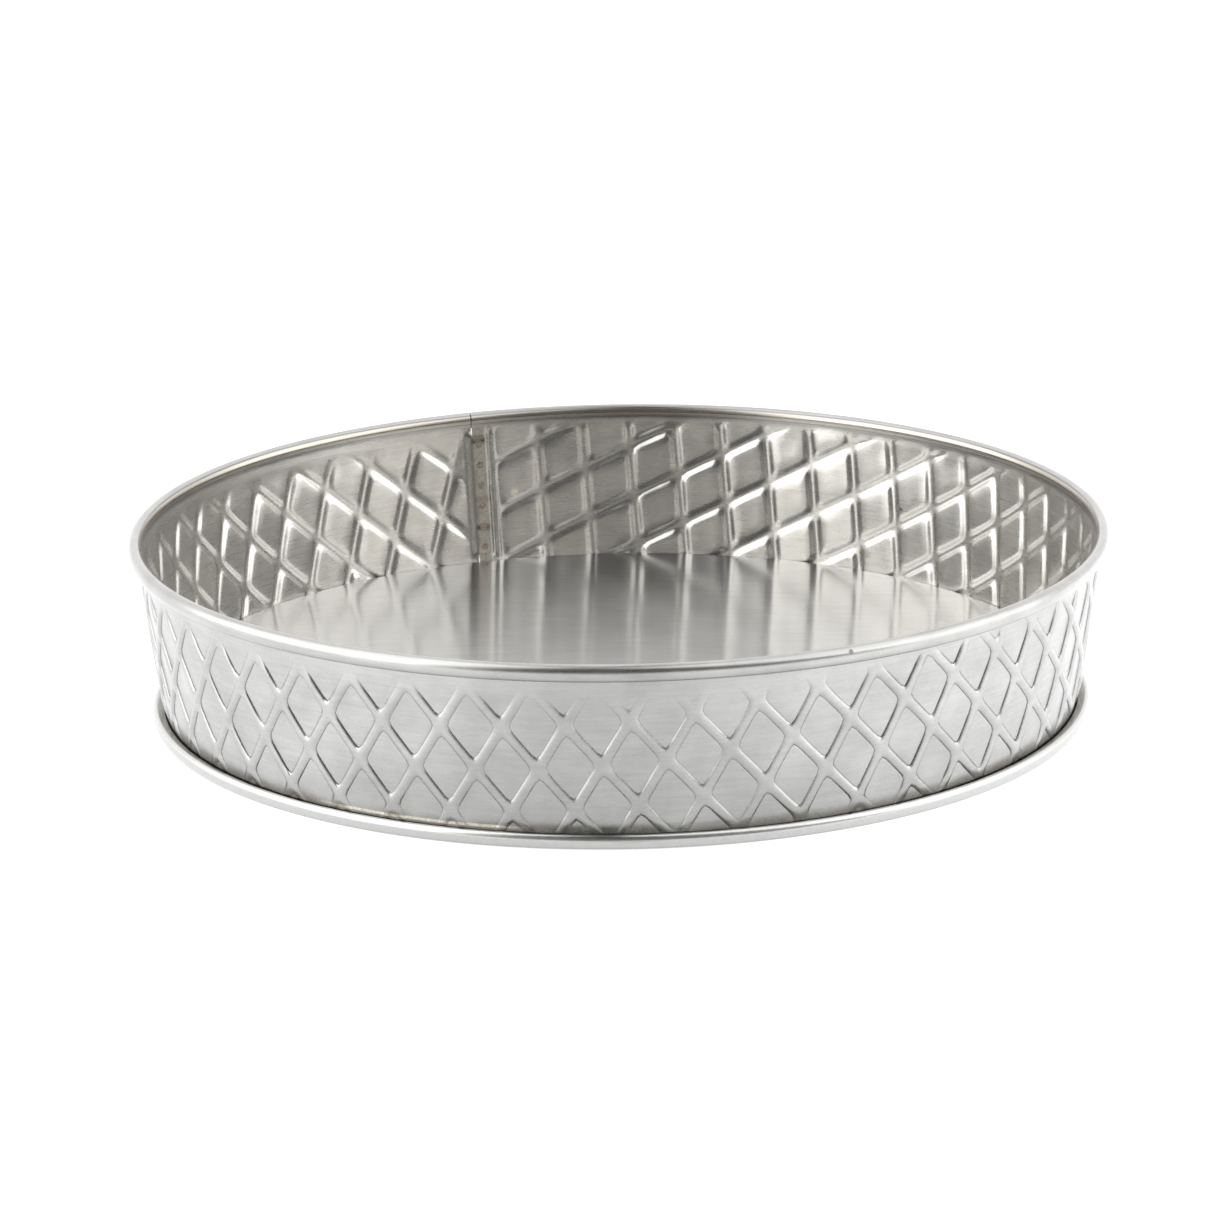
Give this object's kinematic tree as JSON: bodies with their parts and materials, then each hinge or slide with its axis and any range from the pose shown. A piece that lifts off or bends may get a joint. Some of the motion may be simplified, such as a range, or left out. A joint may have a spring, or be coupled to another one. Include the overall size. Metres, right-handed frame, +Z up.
{
  "type": "round steel pan",
  "caption": "Shallow round steel pan with a flared, diamond-embossed wall, a rolled wired rim and a raised floor hemmed to the wall at the foot.",
  "frame": {"origin": "on the pan's axis, at the plane the foot stands on", "axes": "+Z up along the pan's axis, +X to the right and -Y towards the front; the lap seam is at the back, 19 degrees to the left"},
  "size_m": [0.2666, 0.2666, 0.0504],
  "materials": {
    "wall_steel": "satin stainless steel with fine brushing along the strip",
    "floor_steel": "bright brushed stainless steel",
    "wire_steel": "plain drawn steel wire",
    "weld_steel": "heat tinted spot weld"
  },
  "bodies": {
    "root": {"wall_band": "wall_steel", "base_disc": "floor_steel", "rim_wire": "wire_steel", "spot_weld_1": "weld_steel", "spot_weld_2": "weld_steel", "spot_weld_3": "weld_steel", "spot_weld_4": "weld_steel", "spot_weld_5": "weld_steel", "spot_weld_6": "weld_steel"}
  },
  "joints": []
}
